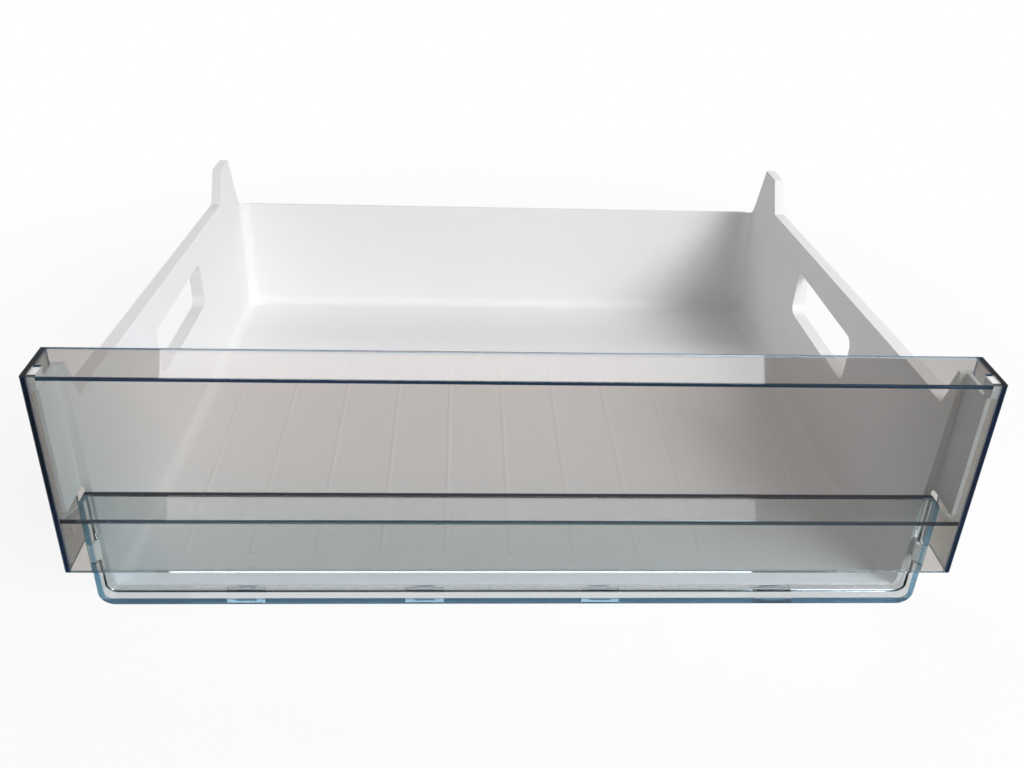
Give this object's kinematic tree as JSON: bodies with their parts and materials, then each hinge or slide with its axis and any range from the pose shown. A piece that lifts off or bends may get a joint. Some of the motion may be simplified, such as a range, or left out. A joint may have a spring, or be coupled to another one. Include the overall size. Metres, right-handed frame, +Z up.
{
  "type": "freezer drawer",
  "caption": "White plastic freezer drawer tub with side hand holes, raised rear horns and a tinted clear front whose lower lip is the grip.",
  "frame": {"origin": "bottom centre of the drawer's bounding box, on the surface that it stands on", "axes": "+X to the drawer's right seen from the front, +Y from the front towards the back wall, +Z up"},
  "size_m": [0.456, 0.394, 0.1501],
  "materials": {
    "white_plastic": "satin injection-moulded",
    "clear_front_plastic": "polished transparent, faint blue-grey tint",
    "clear_grip_plastic": "polished transparent, faint blue-green tint"
  },
  "bodies": {
    "root": {"drawer_tub": "white_plastic", "front_fascia": "clear_front_plastic", "grip_panel": "clear_grip_plastic"}
  },
  "joints": []
}
